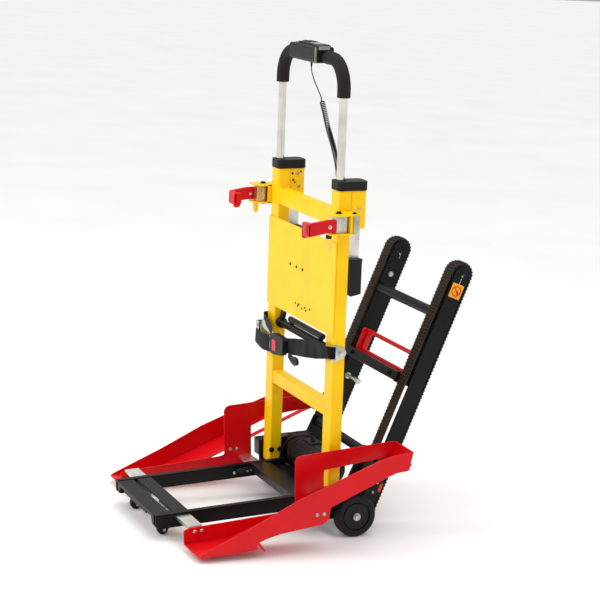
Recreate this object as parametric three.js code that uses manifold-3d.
// Powered stair-climbing wheelchair trolley: yellow hand-truck frame, red wheel cradles, rubber tracks.
// Millimetres. +X is the right-hand side, -Y the loading side, +Z up, floor at z = 0.
import * as THREE from 'three';
import { mergeVertices } from 'three/addons/utils/BufferGeometryUtils.js';
import initManifold from 'manifold-3d';

// ---- driving dimensions ------------------------------------------------------------------
const GAP = 0.3;                 // free play between touching pieces
const COLUMN_X = 200;            // centre of each upright
const COLUMN_W = 50, COLUMN_D = 36, WALL = 2;
const columnOut = COLUMN_X + COLUMN_W / 2, columnIn = COLUMN_X - COLUMN_W / 2;
const COLUMN_LEAN = 2.2;         // degrees, top backwards, measured from the base frame
const COLUMN_FOOT = 51.5, COLUMN_TOP = 895;
const POCKET_D = 43;             // depth of the rear box section carrying the rear grip
const POCKET_FOOT = 795;
const CAP_H = 25, CAP_RIM = 3;
const PANEL_FOOT = 510, PANEL_TOP = 759, PANEL_T = 3;
const UPPER_BAR = [797, 841], LOWER_BAR = [285, 322];
const TUBE_R = 11, TUBE_FOOT = 620;
const TUBE_BACK = WALL + GAP + TUBE_R;   // the tube bears on the column's front wall
const HANDLE_TOP = 1226, BEND_R = 75;
const FOAM_T = 6.5, FOAM_R = TUBE_R + FOAM_T, FOAM_FOOT = HANDLE_TOP - BEND_R - 18;
const BOX_HALF = 85, BOX_BACK = [TUBE_BACK - 33.3, TUBE_BACK + 20.7];
const BOX_S = [HANDLE_TOP - TUBE_R - 4, HANDLE_TOP + TUBE_R + 15];
const BEAM_W = 18, BEAM_Z = [27, 64], BEAM_CLEAR = 9;
const BASE_HALF = columnIn - BEAM_CLEAR;   // the beams stand inside the columns
const BASE_FRONT = -459, BASE_REAR = 42, DECK_T = 6;
const ROLLER_R = 15, ROLLER_X = 110, ROLLER_Y = -422, ROLLER_Z = 8, ROLLER_W = 20;
const WHEEL_R = 57, WHEEL_W = 34, WHEEL_Y = 72, WHEEL_Z = 20, AXLE_R = 8;
const HOUSING_T = 4, HOUSING_TOP = 104;
const CRADLE_CLEAR = 30, CRADLE_W = 105, SHEET = 3;
const CRADLE_IN = columnOut + CRADLE_CLEAR, CRADLE_OUT = CRADLE_IN + CRADLE_W;
const TRACK_LEAN = 24.6, TRACK_Y = 146, TRACK_Z = 70;
const TRACK_W = 40, TRACK_R = 35, BELT_T = 6, PLATE_T = 5.5, TRACK_CLEAR = 20;
const TRACK_IN = columnOut - TRACK_CLEAR - TRACK_W;   // the tracks run between the rear wheels
const TRACK_FOOT = -60, TRACK_TOP = 625;
const MOTOR_R = 44, MOTOR_Y = 72, MOTOR_Z = 98;
const ORIGIN_Y = 30.3;             // moves the middle of the whole length over the origin

const wasm = await initManifold();
wasm.setup();

// ---- materials ---------------------------------------------------------------------------
const paint = (color, roughness, metalness = 0) =>
  new THREE.MeshStandardMaterial({ color, roughness, metalness });
const yellow = paint(0xffc800, 0.35);
const red = paint(0xdc1018, 0.35);
const black = paint(0x1b1b1d, 0.45);
const steel = paint(0xc9c6bf, 0.3, 1);
const zinc = paint(0xb4b1a8, 0.4, 1);
const plastic = paint(0x2a2a2c, 0.5);
const foam = paint(0x35312d, 0.9);
const rubber = paint(0x342b26, 0.85);
const webbing = paint(0x232325, 0.9);

// ---- shapes ------------------------------------------------------------------------------
const radians = THREE.MathUtils.degToRad;
const circle = (a, b, r, n = 24) => Array.from({ length: n }, (_, i) => {
  const q = (i / n) * Math.PI * 2;
  return [a + r * Math.cos(q), b + r * Math.sin(q)];
});
const rounded = (a0, a1, b0, b1, r, n = 4) => {
  const corners = [[a1 - r, b1 - r, 0], [a0 + r, b1 - r, 1], [a0 + r, b0 + r, 2], [a1 - r, b0 + r, 3]];
  return corners.flatMap(([a, b, k]) => Array.from({ length: n + 1 }, (_, i) => {
    const q = (k + i / n) * Math.PI / 2;
    return [a + r * Math.cos(q), b + r * Math.sin(q)];
  }));
};
// Stadium outline around two centres on the second axis.
const stadium = (low, high, r, n = 12) => {
  const half = (b, start) => Array.from({ length: n + 1 }, (_, i) => {
    const q = start + (i / n) * Math.PI;
    return [r * Math.cos(q), b + r * Math.sin(q)];
  });
  return [...half(high, 0), ...half(low, Math.PI)];
};

// Outlines run anticlockwise and holes clockwise, whichever way their points were listed.
function faceOf(points, holes = []) {
  const turned = (list, clockwise) => {
    const path = list.map(([a, b]) => new THREE.Vector2(a, b));
    return THREE.ShapeUtils.isClockWise(path) === clockwise ? path : path.reverse();
  };
  const shape = new THREE.Shape(turned(points, false));
  for (const hole of holes) shape.holes.push(new THREE.Path(turned(hole, true)));
  return shape;
}
const extrude = (points, depth, holes) =>
  new THREE.ExtrudeGeometry(faceOf(points, holes), { depth, bevelEnabled: false });
const basis = (a, b, c) => new THREE.Matrix4().makeBasis(
  new THREE.Vector3(...a), new THREE.Vector3(...b), new THREE.Vector3(...c));
// Outline in (y, z), thickness along x.
function slabX(points, x0, x1, holes) {
  const [lo, hi] = x0 < x1 ? [x0, x1] : [x1, x0];
  return extrude(points, hi - lo, holes).applyMatrix4(basis([0, 1, 0], [0, 0, 1], [1, 0, 0]))
    .translate(lo, 0, 0);
}
// Outline in (x, z), thickness along y.
function slabY(points, y0, y1, holes) {
  return extrude(points, y1 - y0, holes).applyMatrix4(basis([1, 0, 0], [0, 0, 1], [0, -1, 0]))
    .translate(0, y1, 0);
}
// Outline in (x, y), thickness along z.
const slabZ = (points, z0, z1, holes) => extrude(points, z1 - z0, holes).translate(0, 0, z0);
const box = (x0, x1, y0, y1, z0, z1) => slabZ(
  [[Math.min(x0, x1), y0], [Math.max(x0, x1), y0], [Math.max(x0, x1), y1], [Math.min(x0, x1), y1]], z0, z1);
const rodX = (x0, x1, y, z, r, n) => slabX(circle(y, z, r, n), x0, x1);
const rodZ = (x, y, z0, z1, r, n) => slabZ(circle(x, y, r, n), z0, z1);

function solidOf(geometry) {
  const plain = geometry.clone();
  plain.deleteAttribute('normal');
  plain.deleteAttribute('uv');
  const merged = mergeVertices(plain, 1e-4);
  return new wasm.Manifold(new wasm.Mesh({
    numProp: 3,
    vertProperties: new Float32Array(merged.attributes.position.array),
    triVerts: new Uint32Array(merged.index.array),
  }));
}
function geometryOf(solid) {
  const mesh = solid.getMesh();
  const geometry = new THREE.BufferGeometry();
  geometry.setAttribute('position', new THREE.BufferAttribute(new Float32Array(mesh.vertProperties), 3));
  geometry.setIndex(new THREE.BufferAttribute(new Uint32Array(mesh.triVerts), 1));
  return geometry;
}
const join = (...parts) => geometryOf(parts.map(solidOf).reduce((a, b) => a.add(b)));
const cut = (body, ...tools) => geometryOf(tools.map(solidOf).reduce((a, b) => a.subtract(b), solidOf(body)));

// ---- frames ------------------------------------------------------------------------------
// The base rides on the front rollers and the rear wheels; the pitch makes both touch the floor.
const span = Math.hypot(WHEEL_Y - ROLLER_Y, WHEEL_Z - ROLLER_Z);
const PITCH = Math.asin((WHEEL_R - ROLLER_R) / span)
  - Math.atan2(WHEEL_Z - ROLLER_Z, WHEEL_Y - ROLLER_Y);
const LIFT = WHEEL_R - (WHEEL_Y * Math.sin(PITCH) + WHEEL_Z * Math.cos(PITCH));
const base = new THREE.Matrix4().makeTranslation(0, ORIGIN_Y, LIFT)
  .multiply(new THREE.Matrix4().makeRotationX(PITCH));
// Column frame: x, depth behind the front face, distance along the column.
const column = base.clone().multiply(new THREE.Matrix4().makeRotationX(-radians(COLUMN_LEAN)));
const track = base.clone().multiply(new THREE.Matrix4().makeTranslation(0, TRACK_Y, TRACK_Z))
  .multiply(new THREE.Matrix4().makeRotationX(-radians(TRACK_LEAN)));

const group = new THREE.Group();
group.name = 'stair_trolley';
function add(name, frame, material, geometry) {
  geometry.applyMatrix4(frame);
  geometry.computeVertexNormals();
  const mesh = new THREE.Mesh(geometry, material);
  mesh.name = name;
  group.add(mesh);
}
const sides = [['left', -1], ['right', 1]];

// ---- base frame --------------------------------------------------------------------------
const beamIn = BASE_HALF - BEAM_W;
const deckFoot = BEAM_Z[1] - DECK_T;
const FRONT_BAR = [BASE_FRONT + 55.6, BASE_FRONT + 95.4], REAR_BAR = [-62, -25], BAR_T = 9;
const barTop = deckFoot - GAP, barFoot = barTop - BAR_T;
const beamOver = COLUMN_FOOT - GAP - COLUMN_D * Math.sin(radians(COLUMN_LEAN));
const housingIn = columnOut + 1, housingOut = housingIn + HOUSING_T + GAP * 5 + WHEEL_W;
const wheelIn = housingIn + HOUSING_T + GAP * 5, wheelOut = wheelIn + WHEEL_W;
const MOTOR_X = [-beamIn + 36, beamIn - 48];
const frameParts = [
  box(-BASE_HALF, BASE_HALF, BASE_FRONT, BASE_FRONT + 44, deckFoot, BEAM_Z[1]),
  box(-BASE_HALF, BASE_HALF, BASE_FRONT + 55, BASE_FRONT + 96, deckFoot, BEAM_Z[1]),
  box(-BASE_HALF, BASE_HALF, -65, -22, deckFoot, BEAM_Z[1]),
  box(-housingIn + GAP, housingIn - GAP, -8, BASE_REAR, 14, beamOver),
  box(MOTOR_X[0] - 8, MOTOR_X[1] - 20, BASE_REAR - 1, WHEEL_Y + 28, WHEEL_Z + AXLE_R + 3, MOTOR_Z - MOTOR_R - GAP),
];
for (const [, s] of sides) {
  frameParts.push(box(s * beamIn, s * BASE_HALF, BASE_FRONT, BASE_REAR - 1, ...BEAM_Z));
  for (const x of [ROLLER_X - ROLLER_W / 2 - 4, ROLLER_X + ROLLER_W / 2 + 1]) {
    frameParts.push(slabX([[ROLLER_Y - 14, deckFoot + 1], [ROLLER_Y - 8, ROLLER_Z - 8],
      [ROLLER_Y + 8, ROLLER_Z - 8], [ROLLER_Y + 14, deckFoot + 1]], s * x, s * (x + 3)));
  }
  // Axle ears behind the cross beam.
  frameParts.push(slabX([[BASE_REAR - 1, 16], [WHEEL_Y + 16, 4], [WHEEL_Y + 16, 36], [BASE_REAR - 1, 46]],
    s * (beamIn - 6), s * beamIn));
}
const frameCuts = [rodX(-columnOut - 20, columnOut + 20, WHEEL_Y, WHEEL_Z, AXLE_R + GAP, 24)];
for (const [, s] of sides) {
  for (const bar of [FRONT_BAR, REAR_BAR]) {
    frameCuts.push(box(s * (beamIn - 5), s * (BASE_HALF + 5), bar[0] - 0.6, bar[1] + 0.6, barFoot - 0.6, deckFoot));
  }
  frameCuts.push(rodX(s * (ROLLER_X - 20), s * (ROLLER_X + 20), ROLLER_Y, ROLLER_Z, 3 + GAP, 12));
}
add('base_frame', base, black, cut(join(...frameParts), ...frameCuts));

// Housings over the rear wheels: side plate with the axle hole, roof and front wall.
for (const [side, s] of sides) {
  add(`wheel_guard_${side}`, base, black, join(
    slabX([[-8, 14], [WHEEL_Y + 18, 2], [WHEEL_Y + 30, 60], [WHEEL_Y + 30, HOUSING_TOP], [-8, HOUSING_TOP]],
      s * housingIn, s * (housingIn + HOUSING_T), [circle(WHEEL_Y, WHEEL_Z, AXLE_R + GAP, 24)]),
    box(s * housingIn, s * housingOut, -8, WHEEL_Y + 30, HOUSING_TOP - 4, HOUSING_TOP),
    box(s * housingIn, s * housingOut, -8, -4, 57, HOUSING_TOP)));
}

for (const [side, s] of sides) {
  const x = s * ROLLER_X, half = ROLLER_W / 2;
  add(`front_roller_${side}`, base, plastic, join(
    rodX(x - half, x + half, ROLLER_Y, ROLLER_Z, ROLLER_R, 24),
    rodX(x - half - 5, x + half + 5, ROLLER_Y, ROLLER_Z, 3, 12)));
}

// ---- columns -----------------------------------------------------------------------------
const pocketBack = COLUMN_D + POCKET_D;
const GRIP_BACK = [COLUMN_D + 6, COLUMN_D + 36], GRIP_BAR_T = 12;
const GRIP_DROP = 82, GRIP_RAISED = { left: 19, right: 0 };   // the left grip is pulled up a little
for (const [side, s] of sides) {
  const x = s * COLUMN_X;
  const w = COLUMN_W / 2;
  const shell = slabZ(rounded(x - w, x + w, 0, COLUMN_D, 4), COLUMN_FOOT, COLUMN_TOP,
    [rounded(x - w + WALL, x + w - WALL, WALL, COLUMN_D - WALL, 2, 2)]);
  const t = GRIP_BAR_T / 2 + 0.6;
  const pocket = slabZ(rounded(x - w, x + w, COLUMN_D - 2, pocketBack, 6), POCKET_FOOT, COLUMN_TOP,
    [[[x - t, GRIP_BACK[0] - 0.6], [x - t, GRIP_BACK[1] + 0.6], [x + t, GRIP_BACK[1] + 0.6],
      [x + t, GRIP_BACK[0] - 0.6]]]);
  const bore = box(x - w + WALL, x + w - WALL, WALL, COLUMN_D - WALL, COLUMN_FOOT - 1, COLUMN_TOP + 1);
  add(`upright_${side}`, column, yellow, cut(join(shell, pocket), bore));
  add(`cap_${side}`, column, plastic, slabZ(
    rounded(x - w - CAP_RIM, x + w + CAP_RIM, -CAP_RIM, pocketBack + CAP_RIM, 12),
    COLUMN_TOP + GAP, COLUMN_TOP + CAP_H, [circle(x, TUBE_BACK, TUBE_R + GAP, 24)]));
  // Rear carrying grip on a flat bar that slides in the rear box section.
  const gripTop = POCKET_FOOT - GRIP_DROP + GRIP_RAISED[side];
  const bar = box(x - GRIP_BAR_T / 2, x + GRIP_BAR_T / 2, ...GRIP_BACK, gripTop - 20, gripTop + GRIP_DROP + 17);
  const near = COLUMN_D + 1.5, far = COLUMN_D + 38;
  const handle = slabX([[near, gripTop], [near, gripTop - 90], [near + 7, gripTop - 98], [far, gripTop - 92],
    [far, gripTop]], s * (columnOut - 75), s * columnOut);
  add(`rear_grip_${side}`, column, plastic, join(bar, handle));
}
const innerHalf = columnIn - GAP;
add('cross_upper', column, yellow, box(-innerHalf, innerHalf, 2, COLUMN_D - 2, ...UPPER_BAR));
add('cross_lower', column, yellow, box(-innerHalf, innerHalf, 2, COLUMN_D - 2, ...LOWER_BAR));
add('front_panel', column, yellow,
  box(-columnOut, columnOut, -GAP - PANEL_T, -GAP, PANEL_FOOT, PANEL_TOP));
add('cross_tube', column, black, join(
  rodX(-innerHalf, innerHalf, 18, 462, 11, 20),
  rodX(-104, 122, 18, 485, 8.5, 16),
  box(-96, -84, 14, 22, 462, 485), box(100, 112, 14, 22, 462, 485)));

// ---- telescoping handle ------------------------------------------------------------------
// A path through listed points, with a section at each point square to the mean direction there.
class Route extends THREE.Curve {
  constructor(points) {
    super();
    this.points = points.map((p) => new THREE.Vector3(...p));
  }
  getPointAt(u, target = new THREE.Vector3()) {
    return target.copy(this.points[Math.round(u * (this.points.length - 1))]);
  }
  getTangentAt(u, target = new THREE.Vector3()) {
    const last = this.points.length - 1, i = Math.round(u * last);
    const here = this.points[i];
    const back = here.clone().sub(this.points[Math.max(i - 1, 0)]).normalize();
    const ahead = this.points[Math.min(i + 1, last)].clone().sub(here).normalize();
    return target.addVectors(back, ahead).normalize();
  }
}
const tubeAlong = (points, r, n, bore) => new THREE.ExtrudeGeometry(
  faceOf(circle(0, 0, r, n), bore ? [circle(0, 0, bore, n)] : []),
  { steps: points.length - 1, extrudePath: new Route(points) });
// Side s of the handle: up the leg from foot, round the bend and along the top bar to x = inner.
function handleSide(s, foot, inner) {
  const points = [[s * COLUMN_X, TUBE_BACK, foot]];
  for (let i = 0; i <= 8; i += 1) {
    const q = (i / 16) * Math.PI;
    points.push([s * (COLUMN_X - BEND_R * (1 - Math.cos(q))), TUBE_BACK, HANDLE_TOP - BEND_R * (1 - Math.sin(q))]);
  }
  points.push([s * inner, TUBE_BACK, HANDLE_TOP]);
  return points;
}
add('handle_tube', column, steel, tubeAlong(
  [...handleSide(-1, TUBE_FOOT, 0).slice(0, -1), ...handleSide(1, TUBE_FOOT, 0).reverse().slice(1)], TUBE_R, 20));
for (const [side, s] of sides) {
  add(`foam_grip_${side}`, column, foam,
    tubeAlong(handleSide(s, FOAM_FOOT, BOX_HALF + GAP), FOAM_R, 20, TUBE_R + GAP));
}
const lidTop = BOX_S[1] + 5;
add('control_box', column, plastic, cut(join(
  slabX(rounded(...BOX_BACK, ...BOX_S, 5, 3), -BOX_HALF, BOX_HALF),
  box(-58, BOX_HALF - 4, 0, BOX_BACK[1] - 4, BOX_S[1] - 2, lidTop)),
rodX(-BOX_HALF - 1, BOX_HALF + 1, TUBE_BACK, HANDLE_TOP, TUBE_R + GAP, 24),
box(-54, -16, 8, 28, lidTop - 4, lidTop + 1)));
const rockerFoot = lidTop - 4 + GAP;
add('rocker_switch', column, plastic, slabX([[9, rockerFoot + 1], [18, rockerFoot], [27, rockerFoot + 1],
  [27, rockerFoot + 5], [18, rockerFoot + 4], [9, rockerFoot + 7]], -52, -18));

// ---- cord from the control box to the right cap ------------------------------------------
const leadPoints = [[30, -5, BOX_S[0] - GAP * 2], [31, -5, 1192], [44, -4, 1168], [80, 1, 1128], [88, 2, 1118]];
const coilPoints = [[89, 2, 1115], [100, 5, 1090], [119, 10, 1045], [151, 14, 995], [173, 16, 952],
  [178.5, 16, COLUMN_TOP + CAP_H + GAP * 3]];
const smooth = (points, steps) => new THREE.CatmullRomCurve3(points.map((p) => new THREE.Vector3(...p)))
  .getSpacedPoints(steps).map((p) => [p.x, p.y, p.z]);
add('cord_lead', column, plastic, tubeAlong(smooth(leadPoints, 14), 2, 8));
add('cord_coil', column, plastic, tubeAlong(smooth(coilPoints, 9), 6.5, 8));

// ---- wheel clamps on the columns ---------------------------------------------------------
const CLAMP_S = [790, 843], CLAMP_REACH = 57, CLAMP_BACK = [-46, 34], PIN_X = 30, PIN_BACK = -13, PIN_R = 5;
for (const [side, s] of sides) {
  const x = (d) => s * (columnOut + d);
  const plates = [CLAMP_S[0], CLAMP_S[1] - 4].map((z) => box(x(GAP), x(CLAMP_REACH), ...CLAMP_BACK, z, z + 4));
  const web = box(x(GAP), x(4), -10, CLAMP_BACK[1], ...CLAMP_S);
  const heads = [CLAMP_S[0] - 6, CLAMP_S[1] - 1].map((z) => rodZ(x(PIN_X), PIN_BACK, z, z + 7, 8, 6));
  const pin = rodZ(x(PIN_X), PIN_BACK, CLAMP_S[0] + 1, CLAMP_S[1] - 1, PIN_R, 16);
  const stop = box(x(7), x(CLAMP_REACH - 3), CLAMP_BACK[1] - 10, CLAMP_BACK[1] - 2, CLAMP_S[0] + 2, CLAMP_S[1] - 2);
  add(`clamp_bracket_${side}`, column, yellow, join(...plates, web, ...heads, pin, stop));
  const s0 = CLAMP_S[0] + 4 + GAP * 3, s1 = CLAMP_S[1] - 4 - GAP * 3;
  const bore = rodZ(x(PIN_X), PIN_BACK, CLAMP_S[0], CLAMP_S[1], PIN_R + GAP, 16);
  const block = box(x(15), x(47), -36, 8, s0, s1);
  // The arm drops a little towards its nose.
  const arm = slabX([[-107, s0 - 8], [-52, s0 + 1], [-14, s0 + 1], [-14, s1 - 7], [-107, s1 - 15]], x(46), x(51));
  const nose = box(x(10), x(51), -107, -102, s0 - 8, s1 - 15);
  const lip = box(x(10), x(15), -107, -84, s0 - 16, s1 - 15);
  add(`clamp_hook_${side}`, column, red, cut(join(block, arm, nose, lip), bore));
  const plungerTop = CLAMP_S[0] - GAP;
  add(`clamp_plunger_${side}`, column, yellow, join(
    rodZ(x(24), -36, plungerTop - 12, plungerTop, 8, 16),
    rodZ(x(24), -36, plungerTop - 27, plungerTop - 11, 6, 16)));
}

// ---- wheelchair belt ---------------------------------------------------------------------
const BELT_BACK = -12, BELT_THICK = 1.6, BUTTON_TRAVEL = 3;
const BUCKLE_X = [-130, -40], BUTTON_X = [-112, -86], ANCHOR_S = 466;
add('belt_retractor', column, zinc, join(
  box(-columnOut - 33, -columnOut - GAP, -20, 6, 395, 452), box(-columnOut - 4, -columnOut - GAP, 4, 30, 405, 440)));
add('belt_buckle', column, plastic, cut(
  slabY(rounded(...BUCKLE_X, 386, 446, 8), BELT_BACK - 18, -0.6), box(...BUTTON_X, -40, -22, 398, 430)));
add('belt_button', column, red, box(BUTTON_X[0] + 0.6, BUTTON_X[1] - 0.6, BELT_BACK - 20, -22 - BUTTON_TRAVEL - 0.4,
  398.6, 429.4));
const webLeftEnd = BUCKLE_X[0] - 0.4, webRightEnd = BUCKLE_X[1] + 0.4;
add('belt_web_left', column, webbing, slabY([[-columnOut - 30, 388], [webLeftEnd, 390], [webLeftEnd, 436],
  [-columnOut - 30, 434]], -20 - GAP - BELT_THICK, -20 - GAP));
add('belt_web_right', column, webbing, join(
  slabY([[webRightEnd, 400], [columnOut + 6.4, ANCHOR_S - 21], [columnOut + 6.4, ANCHOR_S + 25], [webRightEnd, 446]],
    BELT_BACK, BELT_BACK + BELT_THICK),
  box(columnOut + 4.8, columnOut + 6.4, BELT_BACK, 12, ANCHOR_S - 21, ANCHOR_S + 25)));
add('belt_anchor', column, zinc, join(
  slabX([[-4, ANCHOR_S - 24], [30, ANCHOR_S - 12], [34, ANCHOR_S], [30, ANCHOR_S + 12], [-4, ANCHOR_S + 20]],
    columnOut + GAP, columnOut + 4.4),
  rodX(columnOut + 1, columnOut + 11, 22, ANCHOR_S, 8, 6)));

// ---- wheels ------------------------------------------------------------------------------
const nutOut = wheelOut + GAP + 7;
add('wheel_axle', base, zinc, join(
  rodX(-nutOut, nutOut, WHEEL_Y, WHEEL_Z, AXLE_R, 20),
  rodX(-nutOut, -wheelOut - GAP, WHEEL_Y, WHEEL_Z, AXLE_R + 5, 6),
  rodX(wheelOut + GAP, nutOut, WHEEL_Y, WHEEL_Z, AXLE_R + 5, 6)));
for (const [side, s] of sides) {
  add(`rear_wheel_${side}`, base, rubber, slabX(circle(WHEEL_Y, WHEEL_Z, WHEEL_R, 40), s * wheelIn,
    s * wheelOut, [circle(WHEEL_Y, WHEEL_Z, AXLE_R + GAP, 20)]));
}
add('drive_motor', base, black, join(
  rodX(...MOTOR_X, MOTOR_Y, MOTOR_Z, MOTOR_R, 28),
  slabX(rounded(MOTOR_Y - 28, MOTOR_Y + 42, MOTOR_Z - MOTOR_R, MOTOR_Z + MOTOR_R + 1, 8), MOTOR_X[0] - 34,
    MOTOR_X[0] + 2),
  rodX(MOTOR_X[1] - 1, MOTOR_X[1] + 22, MOTOR_Y, MOTOR_Z, 26, 20)));

// ---- wheel cradles and their slide bars --------------------------------------------------
for (const [side, s] of sides) {
  const inner = slabX([[-415, 10], [-300, 10], [-262, 19.5], [-21, 34], [-21, 160], [186, 174], [186, 215], [-88, 208], [-98, 204],
    [-104, 194], [-104, 64], [-120, 60], [-400, 53], [-415, 48]], s * CRADLE_IN, s * (CRADLE_IN + SHEET));
  const outer = slabX([[-412, 6], [-251, 6], [-251, 27], [-190, 40], [-69, 50], [-52, 60], [-47, 92],
    [122, 155], [142, 161], [176, 163], [188, 213], [133, 210], [20, 177], [-134, 126], [-259, 72], [-408, 15]],
  s * (CRADLE_OUT - SHEET), s * CRADLE_OUT);
  const floor = slabX([[-415, 9], [-300, 9], [-190, 43], [-60, 90], [-60, 93.4], [-191, 46.4], [-301, 12.2],
    [-415, 12.2]], s * (CRADLE_IN + 1), s * (CRADLE_OUT - 1));
  const slope = [[-61, 89.7], [142, 163], [187, 176], [187, 179.2], [141, 166.3], [-61, 93]];
  const innerFlange = slabX(slope, s * (CRADLE_IN + 1), s * (CRADLE_IN + 20));
  const outerFlange = slabX(slope, s * (CRADLE_OUT - 30), s * (CRADLE_OUT - 1));
  const end = slabX([[176, 165], [179, 164], [191, 214], [186, 215]], s * CRADLE_IN, s * CRADLE_OUT);
  const tab = slabX([[-251, 24], [-232, -2], [-229, 0], [-247, 28]], s * (CRADLE_OUT - 30), s * CRADLE_OUT);
  add(`cradle_${side}`, base, red, join(inner, outer, floor, innerFlange, outerFlange, end, tab));
  const reach = CRADLE_IN - GAP;
  add(`front_slide_${side}`, base, steel, box(s * 30, s * reach, ...FRONT_BAR, barFoot, barTop));
  add(`rear_slide_${side}`, base, steel, box(s * 60, s * reach, ...REAR_BAR, barFoot, barTop));
}

// ---- track unit --------------------------------------------------------------------------
const trackOut = TRACK_IN + TRACK_W;
const beltIn = TRACK_R - BELT_T;
const pulleyR = beltIn - GAP;
const axleInTrack = new THREE.Vector3(0, WHEEL_Y - TRACK_Y, WHEEL_Z - TRACK_Z)
  .applyAxisAngle(new THREE.Vector3(1, 0, 0), radians(TRACK_LEAN));
const [ay, az] = [axleInTrack.y, axleInTrack.z];
const plateIn = TRACK_IN - GAP - PLATE_T - GAP;
const LOWER_TUBE = [-37, 82], UPPER_TUBE = [-14, 503], RED_LOOP = [0, 314, 382];
const EAR = [290, 320];            // forward ears that carry the cross bar
for (const [side, s] of sides) {
  const pin = (t) => circle(0, t, 6 + GAP, 14);
  const outerPlate = slabX(stadium(TRACK_FOOT, TRACK_TOP, 22), s * (trackOut + GAP),
    s * (trackOut + GAP + PLATE_T), [pin(TRACK_FOOT), pin(TRACK_TOP)]);
  const foot = side === 'left' ? 106 : EAR[0];
  const innerPlate = slabX([...stadium(300, TRACK_TOP, 24).slice(0, 13), [-24, EAR[1]], [-44, EAR[1]],
    [-44, EAR[0]], [-24, EAR[0]], ...(side === 'left' ? [[-24, foot]] : []), [24, foot]],
  s * (TRACK_IN - GAP), s * (TRACK_IN - GAP - PLATE_T), [pin(TRACK_TOP)]);
  const rail = box(s * (TRACK_IN - 1), s * (trackOut + 1), -20, 20, 330, 580);
  add(`track_frame_${side}`, track, black, join(outerPlate, innerPlate, rail));
  add(`track_foot_${side}`, track, black, slabX([[26, TRACK_FOOT], [18, TRACK_FOOT - 20], [0, TRACK_FOOT - 28],
    [ay - 8, az - 18], [ay - 18, az - 4], [-58, 60], [-56, 100], [-20, 104], [20, 60]],
  s * (TRACK_IN - GAP), s * (TRACK_IN - GAP - PLATE_T),
  [pin(TRACK_FOOT), circle(ay, az, AXLE_R + GAP, 20)]));
  add(`track_belt_${side}`, track, rubber, slabX(stadium(TRACK_FOOT, TRACK_TOP, TRACK_R),
    s * TRACK_IN, s * trackOut, [stadium(TRACK_FOOT, TRACK_TOP, beltIn)]));
  for (const [name, t] of [['drive_pulley', TRACK_FOOT], ['idler_pulley', TRACK_TOP]]) {
    add(`${name}_${side}`, track, plastic, join(
      rodX(s * (TRACK_IN + 1), s * (trackOut - 1), 0, t, pulleyR, 28),
      rodX(s * (plateIn - 0.9), s * (trackOut + GAP + PLATE_T + 1.2), 0, t, 6, 14)));
  }
}
add('track_tube_upper', track, black, rodX(-plateIn, plateIn, ...UPPER_TUBE, 14, 20));
add('track_tube_lower', track, black, rodX(-plateIn, plateIn, ...LOWER_TUBE, 13, 20));
add('track_cross_bar', track, black, box(-plateIn, plateIn, -44, -28, 292, 318));
add('release_loop', track, red, slabY([[-plateIn + 8, RED_LOOP[1]], [plateIn, RED_LOOP[1]], [plateIn, RED_LOOP[2]],
  [-plateIn + 8, RED_LOOP[2]]], RED_LOOP[0] - 6, RED_LOOP[0] + 6,
[[[-plateIn + 21, RED_LOOP[1] + 12], [-plateIn + 21, RED_LOOP[2] - 12], [plateIn - 12, RED_LOOP[2] - 12],
  [plateIn - 12, RED_LOOP[1] + 12]]]));
add('pull_pin', track, zinc, join(
  rodX(-plateIn, -90, -10, 236, 5, 12), rodX(-92, -76, -10, 236, 8, 14),
  rodX(-plateIn, -plateIn + 14, -10, 236, 10, 6)));

export default group;
